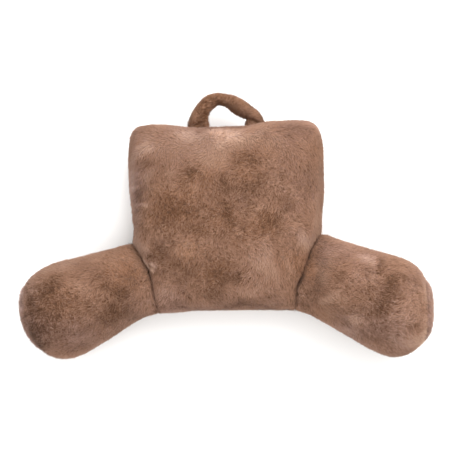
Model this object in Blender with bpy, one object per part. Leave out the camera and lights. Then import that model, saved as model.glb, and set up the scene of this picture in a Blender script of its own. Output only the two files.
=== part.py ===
# Reading pillow with arms: a filled back cushion, two bolster arms with domed ends, and a carrying handle.
# It lies on its back. The front panel faces up (+Z), the handle end points to +Y, and the arms splay out
# to both sides and lean towards -Y. Metres, with the origin under the middle, on the surface it rests on.

import math
from collections import namedtuple

import bmesh
import bpy
from mathutils import Vector

MM = 0.001


def rows(columns, *lines):
    """A short table: one named row for each line."""
    row = namedtuple("Row", columns)
    return [row(*line) for line in lines]


# Driving dimensions, in millimetres
SEWN_GAP = 0.5            # left between pieces that are sewn to each other
BACK_REAR_SEAM = 36       # height of the seam between side strip and rear panel
BACK_FRONT_SEAM = 112     # height of the seam between side strip and front panel
BACK_CROWN = 62           # how far the front panel swells above its seam
SIDE_SWELL = 9            # how far the side strip swells past its two seams
REAR_FLAT = 0.62          # share of the rear panel's fill at which it lies flat on the surface
BACK_COLUMNS = 28         # faces across the front and rear panels
BACK_LINES = 26           # faces from the bottom edge to the top edge
STRIP_LINES = 5           # faces across the side strip
ARM_SIDES = 36            # faces round an arm
ARM_STEPS = 2             # faces between two rows of an arm's table
ARM_FLAT = 4              # how far an arm is pressed flat by the surface it rests on
CAP_RINGS = 5             # faces from an end panel's seam to its middle
HANDLE_SIDES = 14         # faces round the handle
HANDLE_STEPS = 3          # faces between two rows of the handle's table
ARC_STEP = 3.0            # spacing of the points along a rounded outline

# The back's outline at its widest, seen from the front, from the lower left corner anticlockwise.
# Each corner is rounded by its radius, and a large radius makes a gentle bend.
BACK_OUTLINE = rows(
    "x y radius",
    (-153, -191, 0),
    (-70, -188, 300),
    (40, -186, 300),
    (159, -187, 0),
    (160, -148, 90),
    (186, -84, 300),
    (213, -20, 0),
    (214, 20, 120),
    (222, 120, 500),
    (215, 239, 34),
    (150, 241, 250),
    (92, 237, 120),
    (40, 224, 160),
    (-70, 224, 400),
    (-150, 230, 300),
    (-213, 227, 32),
    (-220, 150, 200),
    (-206, 10, 500),
    (-206, -39, 0),
    (-176, -96, 200),
    (-164, -140, 200),
)
LOWER_LEFT, LOWER_RIGHT = 0, 3
ELBOW_RIGHT, ELBOW_LEFT = 6, 18      # where the side meets the arm's seam
UPPER_RIGHT, UPPER_LEFT = 9, 15

# An arm's sections. The section runs from the top line of the arm (tx, ty) to its bottom line (bx, by),
# as seen from the front. middle is the height of its centre, above and below are its half depths, and
# lean is how far its upper side leans out towards the arm's end.
LEFT_ARM = rows(
    "tx ty bx by middle above below lean",
    (-206, -39, -153, -191, 74, 56, 56, 0),
    (-223, -38, -173, -200, 80, 82, 76, 1),
    (-248, -45, -204, -218, 85, 94, 89, 2),
    (-282, -56, -236, -240, 88, 98, 92, 2),
    (-320, -67, -272, -263, 90, 101, 94, 3),
    (-354, -76, -308, -285, 91, 103, 95, 4),
    (-386, -86, -338, -295, 91, 102, 94, 5),
    (-411, -100, -364, -293, 91, 97, 89, 6),
    (-427, -114, -380, -286, 91, 88, 81, 8),
    (-436, -128, -390, -277, 91, 76, 70, 8),
)
RIGHT_ARM = rows(
    "tx ty bx by middle above below lean",
    (213, -20, 159, -187, 74, 56, 56, 0),
    (230, -19, 178, -195, 80, 82, 76, 0),
    (256, -28, 206, -210, 85, 94, 89, 0),
    (292, -39, 240, -228, 88, 98, 92, 0),
    (330, -50, 280, -251, 90, 101, 94, 0),
    (366, -60, 322, -276, 91, 103, 95, 0),
    (396, -71, 362, -289, 91, 101, 94, 0),
    (416, -84, 394, -283, 91, 96, 89, 0),
    (428, -99, 415, -270, 91, 88, 81, 0),
    (434, -113, 428, -257, 91, 76, 70, 0),
)
CAP_SWELL = rows("share height", (1.0, 0), (0.93, 9), (0.8, 16), (0.58, 21), (0.3, 23.5), (0.0, 24))

# The handle's centre line from its left foot to its right foot, seen from the front. wide is its width
# in that view and thick its depth. It is pinched where it kinks: left of the top and at the right foot.
HANDLE = rows(
    "x y z wide thick",
    (-61, 225, 80, 47, 22),
    (-61, 238, 80, 43, 27),
    (-58, 255, 78, 38, 31),
    (-50, 269, 76, 36, 33),
    (-37, 282, 74, 36, 34),
    (-20, 289, 73, 31, 33),
    (-7, 290, 73, 27, 31),
    (9, 286, 73, 32, 34),
    (24, 279, 74, 36, 36),
    (41, 269, 76, 36, 36),
    (57, 258, 79, 33, 33),
    (66, 247, 80, 36, 27),
    (66, 230, 80, 40, 22),
)

FUR = (0.262, 0.140, 0.096, 1.0)
FUR_ARM = (0.254, 0.134, 0.092, 1.0)
FUR_CAP = (0.236, 0.128, 0.088, 1.0)
FUR_HANDLE = (0.245, 0.133, 0.092, 1.0)


def clear_scene():
    for thing in list(bpy.data.objects):
        bpy.data.objects.remove(thing)


def fur_material(name, colour):
    material = bpy.data.materials.new(name)
    material.use_nodes = True
    shader = material.node_tree.nodes["Principled BSDF"]
    shader.inputs["Base Color"].default_value = colour
    shader.inputs["Roughness"].default_value = 0.95
    shader.inputs["Metallic"].default_value = 0.0
    return material


def finish_piece(name, mesh_builder, material):
    """Turns a bmesh in millimetres into the named object in metres, with its faces outwards."""
    bmesh.ops.recalc_face_normals(mesh_builder, faces=mesh_builder.faces)
    bmesh.ops.triangulate(mesh_builder, faces=mesh_builder.faces)
    bmesh.ops.scale(mesh_builder, vec=(MM, MM, MM), verts=mesh_builder.verts)
    mesh = bpy.data.meshes.new(name)
    mesh_builder.to_mesh(mesh)
    mesh_builder.free()
    mesh.shade_smooth()
    piece = bpy.data.objects.new(name, mesh)
    piece.data.materials.append(material)
    bpy.context.collection.objects.link(piece)
    return piece


def rounded_corner(before, corner, after, radius):
    """The arc of this radius that touches both sides of the corner."""
    to_before = (before - corner).normalized()
    to_after = (after - corner).normalized()
    half = to_before.angle(to_after) / 2
    reach = min(radius / math.tan(half), 0.45 * (before - corner).length, 0.45 * (after - corner).length)
    radius = reach * math.tan(half)
    centre = corner + (to_before + to_after).normalized() * (radius / math.sin(half))
    first = corner + to_before * reach - centre
    last = corner + to_after * reach - centre
    steps = max(2, round(first.angle(last) * radius / ARC_STEP))
    normal = first.cross(last).normalized()
    side = normal.cross(first)
    sweep = first.angle(last)
    arc = []
    for step in range(steps + 1):
        angle = sweep * step / steps
        arc.append(centre + first * math.cos(angle) + side * math.sin(angle))
    return arc


def back_outline():
    """The rounded outline as points, and the index of the point at each of its corners."""
    corners = [Vector((row.x, row.y, 0)) for row in BACK_OUTLINE]
    points, at_corner = [], []
    for index, row in enumerate(BACK_OUTLINE):
        before = corners[index - 1]
        after = corners[(index + 1) % len(corners)]
        arc = rounded_corner(before, corners[index], after, row.radius) if row.radius else [corners[index]]
        at_corner.append(len(points) + len(arc) // 2)
        points += arc
    return points, at_corner


def stretch(points, start, end):
    """The points from one index on to another, past the end of the list if need be."""
    if end < start:
        end += len(points)
    return [points[index % len(points)] for index in range(start, end + 1)]


def along(points, shares):
    """The points that lie at these shares of a polyline's length."""
    lengths = [0.0]
    for first, second in zip(points, points[1:]):
        lengths.append(lengths[-1] + (second - first).length)
    found = []
    for share in shares:
        reach = share * lengths[-1]
        index = 0
        while index < len(points) - 2 and lengths[index + 1] < reach:
            index += 1
        part = (reach - lengths[index]) / (lengths[index + 1] - lengths[index])
        found.append(points[index].lerp(points[index + 1], part))
    return found


def evenly(points, steps):
    return along(points, [step / steps for step in range(steps + 1)])


def outward_normals(loop):
    """Unit normals of a closed loop that runs anticlockwise."""
    normals = []
    for index, _ in enumerate(loop):
        run = loop[(index + 1) % len(loop)] - loop[index - 1]
        normals.append(Vector((run.y, -run.x, 0)).normalized())
    return normals


def arm_seam(side):
    """The curve in which an arm is sewn to the back, from its bottom line to its top line."""
    points, at_corner = back_outline()
    if side == "left":
        return list(reversed(stretch(points, at_corner[ELBOW_LEFT], at_corner[LOWER_LEFT])))
    return stretch(points, at_corner[LOWER_RIGHT], at_corner[ELBOW_RIGHT])


def widest_loop():
    """The back's outline as evenly spaced points, anticlockwise from its lower left corner."""
    points, at_corner = back_outline()
    bottom = evenly(stretch(points, at_corner[LOWER_LEFT], at_corner[LOWER_RIGHT]), BACK_COLUMNS)
    right = evenly(stretch(points, at_corner[LOWER_RIGHT], at_corner[UPPER_RIGHT]), BACK_LINES)
    top = evenly(stretch(points, at_corner[UPPER_RIGHT], at_corner[UPPER_LEFT]), BACK_COLUMNS)
    left = evenly(stretch(points, at_corner[UPPER_LEFT], at_corner[LOWER_LEFT]), BACK_LINES)
    return bottom[:-1] + right[:-1] + top[:-1] + left[:-1]


def panel_plan(seam_loop):
    """Grid of plan points that fills the seam loop, each edge blended into the opposite one."""
    across, up = BACK_COLUMNS, BACK_LINES
    bottom = seam_loop[: across + 1]
    right = seam_loop[across : across + up + 1]
    top = list(reversed(seam_loop[across + up : 2 * across + up + 1]))
    left = list(reversed((seam_loop + seam_loop[:1])[2 * across + up :]))
    grid = []
    for line in range(up + 1):
        v = line / up
        points = []
        for column in range(across + 1):
            u = column / across
            edges = bottom[column].lerp(top[column], v) + left[line].lerp(right[line], u)
            corners = bottom[0].lerp(bottom[-1], u).lerp(top[0].lerp(top[-1], u), v)
            points.append(edges - corners)
        grid.append(points)
    return grid


def panel_fill(line, column):
    """How full the cushion is here: 0 at its seams and 1 in its middle, a little fuller towards the bottom."""
    u = 2 * column / BACK_COLUMNS - 1
    v = 2 * line / BACK_LINES - 1
    rounded = (1 - abs(u) ** 2.8) * (1 - abs(v) ** 2.8)
    return max(0.0, rounded) ** 0.5 * (1 - 0.07 * v)


def build_back():
    loop = widest_loop()
    normals = outward_normals(loop)
    seam_loop = [point - normal * SIDE_SWELL for point, normal in zip(loop, normals)]
    grid = panel_plan(seam_loop)
    builder = bmesh.new()
    front, rear = [], []
    for line, points in enumerate(grid):
        front_line, rear_line = [], []
        for column, point in enumerate(points):
            fill = panel_fill(line, column)
            lift = BACK_FRONT_SEAM + BACK_CROWN * fill
            sink = BACK_REAR_SEAM * max(0.0, 1 - fill / REAR_FLAT) ** 1.5
            front_line.append(builder.verts.new((point.x, point.y, lift)))
            rear_line.append(builder.verts.new((point.x, point.y, sink)))
        front.append(front_line)
        rear.append(rear_line)
    for panel in (front, rear):
        for line in range(BACK_LINES):
            for column in range(BACK_COLUMNS):
                lower, upper = panel[line], panel[line + 1]
                builder.faces.new((lower[column], lower[column + 1], upper[column + 1], upper[column]))
    rings = [boundary_loop(front)]
    for step in range(1, STRIP_LINES):
        share = step / STRIP_LINES
        height = BACK_FRONT_SEAM + (BACK_REAR_SEAM - BACK_FRONT_SEAM) * share
        bow = SIDE_SWELL * math.sin(math.pi * share) ** 0.7
        ring = []
        for point, normal in zip(seam_loop, normals):
            place = point + normal * bow
            ring.append(builder.verts.new((place.x, place.y, height)))
        rings.append(ring)
    rings.append(boundary_loop(rear))
    join_rings(builder, rings)
    return finish_piece("back_cushion", builder, fur_material("short_fur_back", FUR))


def boundary_loop(panel):
    """The border of a grid of points, anticlockwise from its lower left corner."""
    right = [line[-1] for line in panel]
    left = [line[0] for line in panel]
    return panel[0][:-1] + right[:-1] + panel[-1][:0:-1] + left[:0:-1]


def join_rings(builder, rings):
    """Faces between each two rings that follow each other."""
    for first, second in zip(rings, rings[1:]):
        count = len(first)
        for index in range(count):
            after = (index + 1) % count
            builder.faces.new((first[index], first[after], second[after], second[index]))


def close_with_fan(builder, ring, centre):
    middle = builder.verts.new(centre)
    for index, corner in enumerate(ring):
        builder.faces.new((corner, ring[(index + 1) % len(ring)], middle))


def between_rows(table, steps):
    """The table's rows with smooth steps in between, as dictionaries."""
    names = table[0]._fields
    smooth = []
    for index in range(len(table) - 1):
        around = [table[max(0, index - 1)], table[index], table[index + 1], table[min(len(table) - 1, index + 2)]]
        for step in range(steps):
            smooth.append({name: spline([getattr(row, name) for row in around], step / steps) for name in names})
    smooth.append(dict(zip(names, table[-1])))
    return smooth


def spline(values, share):
    """Catmull-Rom through the two middle values of four."""
    before, start, end, after = values
    slope_start = (end - before) / 2
    slope_end = (after - start) / 2
    square, cube = share**2, share**3
    return (
        start * (2 * cube - 3 * square + 1)
        + slope_start * (cube - 2 * square + share)
        + end * (3 * square - 2 * cube)
        + slope_end * (cube - square)
    )


def arm_ring(row):
    """One section of an arm: round, pressed flat where it rests on the surface."""
    top = Vector((row["tx"], row["ty"], 0))
    bottom = Vector((row["bx"], row["by"], 0))
    centre = (top + bottom) / 2
    across = (top - bottom) / 2
    outward = Vector((-across.y, across.x, 0)).normalized()
    if outward.x * centre.x < 0:
        outward.negate()
    ring = []
    for index in range(ARM_SIDES):
        angle = 2 * math.pi * index / ARM_SIDES
        rise = math.sin(angle)
        depth = row["above"] if rise > 0 else row["below"] + ARM_FLAT
        place = centre + across * math.cos(angle) + outward * row["lean"] * rise
        place.z = max(0.0, row["middle"] + depth * rise)
        ring.append(place)
    return ring


def sewn_ring(side, row):
    """The arm's first section, which follows the curve in which it is sewn to the back."""
    curve = arm_seam(side)
    shares = [(1 + math.cos(2 * math.pi * index / ARM_SIDES)) / 2 for index in range(ARM_SIDES)]
    chord = (curve[-1] - curve[0]).normalized()
    outward = Vector((-chord.y, chord.x, 0)) if side == "left" else Vector((chord.y, -chord.x, 0))
    ring = []
    for index, place in enumerate(along(curve, shares)):
        rise = math.sin(2 * math.pi * index / ARM_SIDES)
        place = place + outward * SEWN_GAP
        place.z = row["middle"] + row["above"] * rise
        ring.append(place)
    return ring


def cap_plane(row):
    """Centre, outward normal and two in-plane axes of the seam of an arm's end panel."""
    top = Vector((row["tx"], row["ty"], row["middle"]))
    bottom = Vector((row["bx"], row["by"], row["middle"]))
    centre = (top + bottom) / 2
    across = (top - bottom) / 2
    outward = Vector((-across.y, across.x, 0)).normalized()
    if outward.x * centre.x < 0:
        outward.negate()
    raised = Vector((0, 0, row["above"])) + outward * row["lean"]
    normal = across.cross(raised).normalized()
    if normal.dot(outward) < 0:
        normal.negate()
    return centre, normal, across, raised


def planar_ring(centre, across, raised, share):
    ring = []
    for index in range(ARM_SIDES):
        angle = 2 * math.pi * index / ARM_SIDES
        ring.append(centre + (across * math.cos(angle) + raised * math.sin(angle)) * share)
    return ring


def build_arm(side, table):
    builder = bmesh.new()
    stations = between_rows(table, ARM_STEPS)
    places = [sewn_ring(side, stations[0])]
    places += [arm_ring(row) for row in stations[1:-1]]
    centre, _, across, raised = cap_plane(stations[-1])
    places.append(planar_ring(centre, across, raised, 1.0))
    rings = [[builder.verts.new(place) for place in ring] for ring in places]
    join_rings(builder, rings)
    close_with_fan(builder, rings[-1], centre)
    first = rings[0]
    half = ARM_SIDES // 2
    for index in range(half):
        upper, upper_after = first[index], first[index + 1]
        lower, lower_after = first[-index % ARM_SIDES], first[-index - 1]
        corners = list(dict.fromkeys((upper, upper_after, lower_after, lower)))
        builder.faces.new(corners)
    return finish_piece(f"arm_{side}", builder, fur_material(f"short_fur_arm_{side}", FUR_ARM))


def build_cap(side, table):
    """The domed panel that closes an arm's end."""
    builder = bmesh.new()
    centre, normal, across, raised = cap_plane(between_rows(table, 1)[-1])
    base = centre + normal * SEWN_GAP
    rings = []
    for row in CAP_SWELL[:-1]:
        places = planar_ring(base + normal * row.height, across, raised, row.share)
        rings.append([builder.verts.new(place) for place in places])
    join_rings(builder, rings)
    close_with_fan(builder, rings[-1], base + normal * CAP_SWELL[-1].height)
    close_with_fan(builder, rings[0], base)
    return finish_piece(f"arm_cap_{side}", builder, fur_material(f"short_fur_cap_{side}", FUR_CAP))


def back_edge_at(x):
    """How far the back's widest outline reaches at this x, on its handle side."""
    points, _ = back_outline()
    reach = -math.inf
    for first, second in zip(points, points[1:] + points[:1]):
        if min(first.x, second.x) <= x <= max(first.x, second.x) and first.x != second.x:
            share = (x - first.x) / (second.x - first.x)
            reach = max(reach, first.y + (second.y - first.y) * share)
    return reach


def build_handle():
    builder = bmesh.new()
    stations = between_rows(HANDLE, HANDLE_STEPS)
    centres = [Vector((row["x"], row["y"], row["z"])) for row in stations]
    rings = []
    for index, row in enumerate(stations):
        run = centres[min(index + 1, len(centres) - 1)] - centres[max(index - 1, 0)]
        sideways = Vector((run.y, -run.x, 0)).normalized()
        is_foot = index in (0, len(stations) - 1)
        if is_foot:
            sideways = Vector((math.copysign(1, sideways.x), 0, 0))
        upward = Vector((0, 0, 1)) if is_foot else sideways.cross(run).normalized()
        if upward.z < 0:
            upward.negate()
        ring = []
        for corner in range(HANDLE_SIDES):
            angle = 2 * math.pi * corner / HANDLE_SIDES
            place = centres[index] + sideways * math.cos(angle) * row["wide"] / 2
            place += upward * math.sin(angle) * row["thick"] / 2
            if is_foot:
                place.y = back_edge_at(place.x) + SEWN_GAP
            ring.append(builder.verts.new(place))
        rings.append(ring)
    join_rings(builder, rings)
    for ring in (rings[0], rings[-1]):
        middle = sum((corner.co for corner in ring), Vector()) / len(ring)
        middle.y = back_edge_at(middle.x) + SEWN_GAP
        close_with_fan(builder, ring, middle)
    return finish_piece("handle", builder, fur_material("short_fur_handle", FUR_HANDLE))


def centre_on_floor(pieces):
    """Moves every mesh so that the whole pillow's box is centred and rests at height zero."""
    corners = [vertex.co for piece in pieces for vertex in piece.data.vertices]
    low = Vector([min(corner[axis] for corner in corners) for axis in range(3)])
    high = Vector([max(corner[axis] for corner in corners) for axis in range(3)])
    shift = Vector((-(low.x + high.x) / 2, -(low.y + high.y) / 2, -low.z))
    for piece in pieces:
        for vertex in piece.data.vertices:
            vertex.co += shift


clear_scene()
pillow = [
    build_back(),
    build_arm("left", LEFT_ARM),
    build_arm("right", RIGHT_ARM),
    build_cap("left", LEFT_ARM),
    build_cap("right", RIGHT_ARM),
    build_handle(),
]
centre_on_floor(pillow)
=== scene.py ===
# Reading pillow with arms: filled cloth pieces, each under its own short plush pile
import math
import bmesh
import bpy
import numpy as np
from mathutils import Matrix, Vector
from mathutils.bvhtree import BVHTree


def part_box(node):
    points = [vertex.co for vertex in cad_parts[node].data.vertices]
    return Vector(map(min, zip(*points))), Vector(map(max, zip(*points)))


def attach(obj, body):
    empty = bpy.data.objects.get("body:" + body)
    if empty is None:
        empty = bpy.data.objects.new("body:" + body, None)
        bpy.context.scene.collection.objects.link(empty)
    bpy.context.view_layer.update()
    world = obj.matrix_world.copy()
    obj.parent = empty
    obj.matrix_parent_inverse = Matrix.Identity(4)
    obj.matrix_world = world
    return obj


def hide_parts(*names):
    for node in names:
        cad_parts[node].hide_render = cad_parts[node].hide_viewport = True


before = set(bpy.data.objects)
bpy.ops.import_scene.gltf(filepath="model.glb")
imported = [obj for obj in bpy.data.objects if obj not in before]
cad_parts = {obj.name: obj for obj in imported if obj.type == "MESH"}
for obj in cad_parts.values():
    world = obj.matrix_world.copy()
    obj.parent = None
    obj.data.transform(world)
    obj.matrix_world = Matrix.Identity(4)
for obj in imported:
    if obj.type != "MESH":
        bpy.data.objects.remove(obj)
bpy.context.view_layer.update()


# smoothstep
def smooth(x):
    x = np.clip(x, 0.0, 1.0)
    return x * x * (3 - 2 * x)


# 1 where x is nothing, and near nothing beyond this width
def fade(x, width):
    return np.exp(-((x / width) ** 2))


def fromVertices(mesh, field):
    values = np.empty(len(mesh.vertices) * 3)
    mesh.vertices.foreach_get(field, values)
    return values.reshape(-1, 3)


def meshPoints(mesh):
    return fromVertices(mesh, "co")


def meshNormals(mesh):
    return fromVertices(mesh, "normal")


def surface(mesh):
    return meshPoints(mesh), meshNormals(mesh)


def setPoints(mesh, points):
    mesh.vertices.foreach_set("co", np.ascontiguousarray(points).ravel())
    mesh.update()


def newObject(name, data):
    piece = bpy.data.objects.new(name, data)
    bpy.context.scene.collection.objects.link(piece)
    return piece


# the modifiers' result becomes the piece's own plain mesh
def applied(piece):
    depsgraph = bpy.context.evaluated_depsgraph_get()
    mesh = bpy.data.meshes.new_from_object(piece.evaluated_get(depsgraph), depsgraph=depsgraph)
    piece.modifiers.clear()
    piece.data = mesh
    return mesh


# distance in plan from each point to a line of corners, and how far along the line that is
def nearestOnLine(points, line):
    best = np.full(len(points), 1e9)
    place = np.zeros(len(points))
    total = 0.0
    for start, end in zip(line[:-1], line[1:]):
        start, end = np.array(start), np.array(end)
        run = end - start
        length = np.linalg.norm(run)
        share = np.clip(((points[:, :2] - start) @ run) / length**2, 0, 1)
        away = np.linalg.norm(points[:, :2] - start - share[:, None] * run, axis=1)
        closer = away < best
        best[closer] = away[closer]
        place[closer] = total + share[closer] * length
        total += length
    return best, place / total


# a smooth random field from about -1 to 1, with features of this size
def waves(points, size, seed, count=14):
    chance = np.random.default_rng(seed)
    total = np.zeros(len(points))
    for _ in range(count):
        heading = chance.normal(size=3)
        heading *= chance.uniform(0.6, 1.5) * math.pi / size / np.linalg.norm(heading)
        total += np.sin(points @ heading + chance.uniform(0, 2 * math.pi))
    return total * math.sqrt(2.0 / count) * 0.6


# several fields together, each with its height and size
def wavesOf(points, rows, seed, step=1):
    return sum(height * waves(points, size, seed + step * part) for part, (height, size) in enumerate(rows))


# unit directions in plan that point away from a line of corners
def awayFrom(points, line):
    fine = []
    for start, end in zip(line[:-1], line[1:]):
        fine += [np.array(start) + (np.array(end) - start) * step / 12 for step in range(12)]
    fine = np.array(fine + [np.array(line[-1])])
    heading = np.zeros((len(points), 3))
    near = np.nonzero(nearestOnLine(points, line)[0] < 0.05)[0]
    gaps = points[near, None, :2] - fine[None]
    closest = np.argmin((gaps**2).sum(axis=2), axis=1)
    gap = gaps[np.arange(len(near)), closest]
    heading[near, :2] = gap / np.maximum(np.linalg.norm(gap, axis=1), 1e-6)[:, None]
    return heading


# how far each point lies outside the other pieces, up to the reach; below nothing inside them
def gapTo(points, others, reach=0.03):
    gap = np.full(len(points), reach)
    for other in others:
        corners = meshPoints(other.data)
        faces = [tuple(face.vertices) for face in other.data.polygons]
        tree = BVHTree.FromPolygons(corners.tolist(), faces)
        inReach = (points > corners.min(axis=0) - reach) & (points < corners.max(axis=0) + reach)
        for index in np.nonzero(inReach.all(axis=1))[0]:
            point = Vector(points[index])
            place, normal, _, away = tree.find_nearest(point, reach)
            if place is not None:
                gap[index] = min(gap[index], away if (point - place).dot(normal) > 0 else -away)
    return gap


def writeAttribute(mesh, name, values):
    kind = "FLOAT_VECTOR" if values.ndim == 2 else "FLOAT"
    field = "vector" if values.ndim == 2 else "value"
    layer = mesh.attributes.get(name) or mesh.attributes.new(name, kind, "POINT")
    layer.data.foreach_set(field, np.ascontiguousarray(values, dtype=np.float32).ravel())


def readAttribute(mesh, name):
    values = np.empty(len(mesh.vertices), dtype=np.float32)
    mesh.attributes[name].data.foreach_get("value", values)
    return values


sides = ("left", "right")
floorGap = 0.0012  # cloth and tufts stay this far above the surface, metres
restHeight, heldHeight = 0.004, 0.006  # below these a cloth lies on the surface, and is held to it
hiddenGap = -0.0005  # no tufts grow deeper inside another piece than this

plush = {
    "shades": [  # from tufts that lie turned away to tufts that catch the light
        (0.0, (0.120, 0.058, 0.031, 1.0)),
        (0.5, (0.372, 0.210, 0.144, 1.0)),
        (1.0, (0.730, 0.498, 0.386, 1.0)),
    ],
    "tints": [  # rows across the map that tint those shades, from warm brown to greyish
        (0.0, (1.0, 0.92, 0.80, 1.0)),
        (0.25, (1.0, 0.98, 0.94, 1.0)),
        (0.5, (0.99, 1.01, 1.07, 1.0)),
        (0.75, (0.96, 1.03, 1.20, 1.0)),
    ],
    # painted shade deep in the pile: the tufts' roots and the backing are darkened
    "rootShade": (0.50, 0.45, 0.42, 1.0),  # what the tufts' colour is multiplied by at their roots
    "backingShade": 0.52,  # and what the backing's is multiplied by
    "shader": {
        "Metallic": 0.0,
        "Roughness": 0.9,
        "Specular IOR Level": 0.1,
        "Sheen Weight": 0.10,
        "Sheen Roughness": 0.5,
        "Sheen Tint": (1.0, 0.86, 0.76, 1.0),
    },
}


# a node's inputs, each a value or another node's output
def feed(tree, node, inputs):
    for key, value in inputs.items():
        if isinstance(value, bpy.types.NodeSocket):
            tree.links.new(value, node.inputs[key])
        else:
            node.inputs[key].default_value = value


# the outputs of a node with these inputs and settings
def newNode(tree, kind, inputs, **settings):
    node = tree.nodes.new(kind)
    for key, value in settings.items():
        setattr(node, key, value)
    feed(tree, node, inputs)
    return node.outputs


def newMaterial(name):
    material = bpy.data.materials.new(name)
    material.use_nodes = True
    tree = material.node_tree
    shader = tree.nodes["Principled BSDF"]
    feed(tree, shader, plush["shader"])
    return material, tree, shader


def shadeRamp(tree, place, stops, blend="LINEAR"):
    ramp = tree.nodes.new("ShaderNodeValToRGB")
    ramp.color_ramp.interpolation = blend
    ends = ramp.color_ramp.elements
    ends[0].position, ends[0].color = stops[0]
    ends[1].position, ends[1].color = stops[-1]
    for position, colour in stops[1:-1]:
        ends.new(position).color = colour
    tree.links.new(place, ramp.inputs["Fac"])
    return ramp.outputs["Color"]


def multiplied(tree, first, second):
    inputs = {"Factor": 1.0, "A": first, "B": second}
    return newNode(tree, "ShaderNodeMix", inputs, data_type="RGBA", blend_type="MULTIPLY")["Result"]


# across the map is how light a tuft is; up the map are rows of tints, each from root to tip
def pileMaterial(name):
    material, tree, shader = newMaterial(name)
    uvMap = newNode(tree, "ShaderNodeUVMap", {}, uv_map="OFBake")
    spot = newNode(tree, "ShaderNodeSeparateXYZ", {"Vector": uvMap["UV"]})
    shade = shadeRamp(tree, spot["X"], plush["shades"])
    tint = shadeRamp(tree, spot["Y"], plush["tints"], "CONSTANT")
    rows = {0: spot["Y"], 1: float(len(plush["tints"]))}
    spread = newNode(tree, "ShaderNodeMath", rows, operation="MULTIPLY")
    withinRow = newNode(tree, "ShaderNodeMath", {0: spread[0]}, operation="FRACT")
    # painted shade towards the tufts' roots
    root = shadeRamp(tree, withinRow[0], [(0.1, plush["rootShade"]), (0.75, (1.0, 1.0, 1.0, 1.0))])
    feed(tree, shader, {"Base Color": multiplied(tree, multiplied(tree, shade, tint), root)})
    return material


# the knitted backing between tufts and in the seams: the pile's own colour, in shade
def backingMaterial(name):
    material, tree, shader = newMaterial(name)
    place = newNode(tree, "ShaderNodeTexCoord", {})["Object"]
    tone = newNode(tree, "ShaderNodeAttribute", {}, attribute_name="pileTone")
    knit = newNode(tree, "ShaderNodeTexNoise", {"Vector": place, "Scale": 420.0, "Detail": 4.0})
    low, high = plush["backingShade"] * 0.7, plush["backingShade"] * 1.3
    shadow = shadeRamp(tree, knit["Fac"], [(0.3, (low, low, low, 1.0)), (0.7, (high, high, high, 1.0))])
    shade = shadeRamp(tree, tone["Fac"], plush["shades"])
    stubble = newNode(tree, "ShaderNodeTexNoise", {"Vector": place, "Scale": 900.0, "Detail": 3.0})
    relief = {"Strength": 0.6, "Distance": 0.0015, "Height": stubble["Fac"]}
    bump = newNode(tree, "ShaderNodeBump", relief)
    feed(tree, shader, {"Base Color": multiplied(tree, shade, shadow), "Normal": bump["Normal"]})
    return material


pileLook = pileMaterial("plush_pile")
backingLook = backingMaterial("plush_backing")
print("materials made")


# a welded copy of the CAD solid, to be filled as cloth
def clothCopy(node, name):
    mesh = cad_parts[node].data.copy()
    builder = bmesh.new()
    builder.from_mesh(mesh)
    bmesh.ops.remove_doubles(builder, verts=builder.verts, dist=0.00005)
    builder.to_mesh(mesh)
    builder.free()
    mesh.materials.clear()
    return newObject(name, mesh)


# an even weave all over the piece, with its steps evened out
def rewoven(piece, voxel, rounds):
    remesh = piece.modifiers.new("weave", "REMESH")
    remesh.mode = "VOXEL"
    remesh.voxel_size = voxel
    remesh.use_smooth_shade = True
    mesh = applied(piece)
    points = meshPoints(mesh)
    edges = np.empty(len(mesh.edges) * 2, dtype=np.int64)
    mesh.edges.foreach_get("vertices", edges)
    first, second = edges.reshape(-1, 2).T
    ends = np.concatenate([first, second])
    others = np.concatenate([second, first])
    count = np.bincount(ends, minlength=len(points))
    for _ in range(rounds):
        mean = [np.bincount(ends, points[others, axis], len(points)) / count for axis in range(3)]
        points = points + (np.stack(mean, axis=1) - points) * 0.5
    setPoints(mesh, points)
    return mesh


swellCap = 0.0025  # how far the filling moves the cloth out at most
filling = {  # how the cloth stretches and bends meanwhile
    "quality": 5,
    "mass": 0.3,
    "use_pressure": True,
    "uniform_pressure_force": 4.0,
    "tension_stiffness": 12,
    "compression_stiffness": 12,
    "bending_stiffness": 0.6,
    "vertex_group_mass": "sewn",
}


# air pressure fills the cloth, and moves it by no more than the cap
def swollen(piece, pinned, frames=20):
    mesh = piece.data
    start, normals = surface(mesh)
    group = piece.vertex_groups.new(name="sewn")
    for index in np.nonzero(pinned > 0.02)[0]:
        group.add([int(index)], float(min(1.0, pinned[index])), "REPLACE")
    cloth = piece.modifiers.new("filling", "CLOTH")
    for key, value in filling.items():
        setattr(cloth.settings, key, value)
    cloth.settings.effector_weights.gravity = 0.0
    cloth.collision_settings.use_self_collision = False
    cloth.point_cache.frame_start = 1
    cloth.point_cache.frame_end = frames
    scene = bpy.context.scene
    for step in range(1, frames + 1):
        scene.frame_set(step)
    depsgraph = bpy.context.evaluated_depsgraph_get()
    blown = meshPoints(piece.evaluated_get(depsgraph).to_mesh())
    move = blown - start
    limit = np.where((move * normals).sum(axis=1) > 0, swellCap, swellCap * 0.4)
    length = np.linalg.norm(move, axis=1)
    share = np.minimum(1.0, limit / np.maximum(length, 1e-9))
    piece.modifiers.clear()
    piece.vertex_groups.clear()
    scene.frame_set(1)
    setPoints(mesh, start + move * share[:, None])
    print("  filled: moved", round(float(length.max()) * 1000, 1), "mm, kept to", swellCap * 1000)


# one subdivision, gentle lumps of filling, and flat contact with the surface
def softened(piece, lump, seed):
    level = piece.modifiers.new("soft", "SUBSURF")
    level.levels = level.render_levels = 1
    mesh = applied(piece)
    points = meshPoints(mesh)
    if lump:
        points = points + meshNormals(mesh) * (waves(points, 0.07, seed) * lump)[:, None]
    points[:, 2] = np.maximum(points[:, 2], floorGap)
    setPoints(mesh, points)
    mesh.shade_smooth()
    mesh.materials.clear()
    mesh.materials.append(backingLook)
    return mesh
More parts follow.
